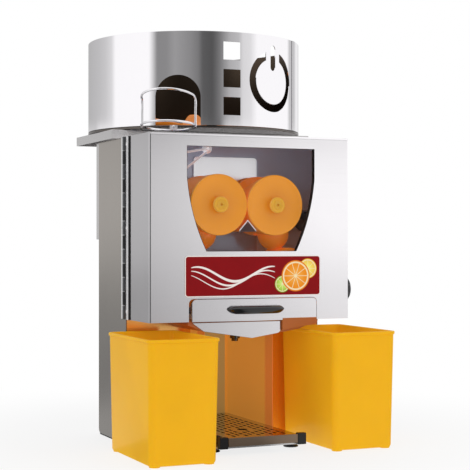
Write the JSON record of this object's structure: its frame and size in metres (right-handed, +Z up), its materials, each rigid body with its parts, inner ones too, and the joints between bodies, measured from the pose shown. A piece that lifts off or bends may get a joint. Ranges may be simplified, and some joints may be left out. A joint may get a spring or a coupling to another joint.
{
  "type": "automatic orange juicer",
  "caption": "Countertop automatic orange juicer: round hopper with wire outlet cage, hinged windowed cover, cup and ball drums, pulp drawer, drip tray and peel bins.",
  "frame": {"origin": "on the counter, under the middle of the box round the whole machine with its bins", "axes": "+Z up, -Y towards the person in front of the machine, +X to that person's right"},
  "size_m": [0.469, 0.5993, 0.73],
  "materials": {
    "brushed_steel": "satin brushed stainless steel",
    "mirror_steel": "polished stainless steel",
    "wire_steel": "bright round wire",
    "dark_plate": "dark satin plate",
    "orange_plastic": "moulded orange plastic",
    "tray_plastic": "moulded deep orange plastic",
    "yellow_plastic": "moulded yellow plastic",
    "knob_plastic": "moulded amber plastic",
    "black_gloss": "glossy black plastic",
    "black_plastic": "black plastic",
    "black_rubber": "black rubber",
    "clear_pane": "clear sheet, 3 mm",
    "label_print": "dark red printed panel with a pale border",
    "gear_steel": "machined steel",
    "gear_nylon": "natural nylon",
    "motor_paint": "dark motor paint",
    "cast_plate": "cast aluminium"
  },
  "bodies": {
    "machine": {"side_panel_left": "brushed_steel", "side_panel_right": "brushed_steel", "column_front_plate": "brushed_steel", "rear_cover": "brushed_steel", "top_plate": "brushed_steel", "base_plate": "brushed_steel", "alcove_liner": "brushed_steel", "rear_box": "brushed_steel", "base_strip": "black_rubber", "power_module": "black_plastic", "hinge_leaf_column": "brushed_steel", "chamber_back_plate": "brushed_steel", "knife": "brushed_steel", "peel_ejector_left": "black_plastic", "peel_ejector_right": "black_plastic", "feed_chute": "brushed_steel", "chute_guide": "wire_steel", "bearing_plate": "cast_plate", "gear_plate": "cast_plate", "drive_motor": "motor_paint", "juice_tray": "tray_plastic", "tray_guard": "brushed_steel", "juice_spout": "brushed_steel", "hopper_base": "brushed_steel", "hopper_floor": "dark_plate", "hopper_wall": "mirror_steel", "outlet_cage": "wire_steel", "feeder_motor": "motor_paint", "tray_base": "brushed_steel", "front_foot_left": "black_plastic", "front_foot_right": "black_plastic"},
    "front_cover": {"cover_shell": "brushed_steel", "window_pane": "clear_pane", "window_gasket": "black_rubber", "front_label": "label_print", "hinge_leaf_cover": "brushed_steel"},
    "latch": {"latch_knob": "black_gloss"},
    "upper_left_drum": {"upper_left_cup_drum": "orange_plastic", "upper_left_geared_shaft": "gear_steel", "upper_left_disc": "orange_plastic", "upper_left_knob": "knob_plastic"},
    "upper_right_drum": {"upper_right_cup_drum": "orange_plastic", "upper_right_geared_shaft": "gear_steel", "upper_right_disc": "orange_plastic", "upper_right_knob": "knob_plastic"},
    "lower_left_drum": {"lower_left_ball_drum": "orange_plastic", "lower_left_geared_shaft": "gear_steel"},
    "lower_right_drum": {"lower_right_ball_drum": "orange_plastic", "lower_right_geared_shaft": "gear_steel"},
    "pinion": {"motor_pinion": "gear_nylon"},
    "pulp_drawer": {"drawer_front": "brushed_steel", "drawer_handle": "black_gloss", "pulp_sieve": "brushed_steel"},
    "drip_tray": {"drip_pan": "brushed_steel", "drip_grille": "brushed_steel"},
    "peel_bin_left": {"peel_bin_left": "yellow_plastic"},
    "peel_bin_right": {"peel_bin_right": "yellow_plastic"},
    "feeder": {"feeder_rotor": "orange_plastic", "feeder_shaft": "gear_steel"},
    "rocker": {"switch_rocker": "black_plastic"}
  },
  "joints": [
    {"name": "cover_hinge", "type": "hinge", "parent": "machine", "child": "front_cover", "pos_m": [-0.1915, -0.05315, 0.3815], "axis": [0, 0, -1], "range_deg": [0, 110]},
    {"name": "latch_turn", "type": "hinge", "parent": "front_cover", "child": "latch", "pos_m": [0.188, -0.11815, 0.272], "axis": [1, 0, 0], "range_deg": [0, 90]},
    {"name": "upper_left_spin", "type": "hinge", "parent": "machine", "child": "upper_left_drum", "pos_m": [-0.0535, -0.10815, 0.4215], "axis": [0, -1, 0], "continuous": true},
    {"name": "upper_right_spin", "type": "hinge", "parent": "machine", "child": "upper_right_drum", "pos_m": [0.0535, -0.10815, 0.4215], "axis": [0, -1, 0], "continuous": true},
    {"name": "lower_left_spin", "type": "hinge", "parent": "machine", "child": "lower_left_drum", "pos_m": [-0.087, -0.10815, 0.31988], "axis": [0, -1, 0], "continuous": true},
    {"name": "lower_right_spin", "type": "hinge", "parent": "machine", "child": "lower_right_drum", "pos_m": [0.087, -0.10815, 0.31988], "axis": [0, -1, 0], "continuous": true},
    {"name": "pinion_spin", "type": "hinge", "parent": "machine", "child": "pinion", "pos_m": [-0.10394, -0.10815, 0.47194], "axis": [0, -1, 0], "continuous": true},
    {"name": "drawer_slide", "type": "slide", "parent": "machine", "child": "pulp_drawer", "axis": [0, -1, 0], "range_m": [0, 0.112]},
    {"name": "drip_tray_slide", "type": "slide", "parent": "machine", "child": "drip_tray", "axis": [0, -1, 0], "range_m": [0, 0.3]},
    {"name": "bin_left_slide", "type": "slide", "parent": "machine", "child": "peel_bin_left", "axis": [0, -1, 0], "range_m": [0, 0.21]},
    {"name": "bin_right_slide", "type": "slide", "parent": "machine", "child": "peel_bin_right", "axis": [0, -1, 0], "range_m": [0, 0.21]},
    {"name": "feeder_spin", "type": "hinge", "parent": "machine", "child": "feeder", "pos_m": [0, 0.09945, 0.58], "axis": [0, 0, 1], "continuous": true},
    {"name": "rocker_tilt", "type": "hinge", "parent": "machine", "child": "rocker", "pos_m": [0.128, 0.10515, 0.088], "axis": [-1, 0, 0], "range_deg": [0, 20]}
  ],
  "couplings": [
    {"joint": "upper_right_spin", "follows": "upper_left_spin", "ratio": -1},
    {"joint": "lower_left_spin", "follows": "upper_left_spin", "ratio": -1},
    {"joint": "lower_right_spin", "follows": "upper_left_spin", "ratio": 1},
    {"joint": "pinion_spin", "follows": "upper_left_spin", "ratio": -3}
  ]
}
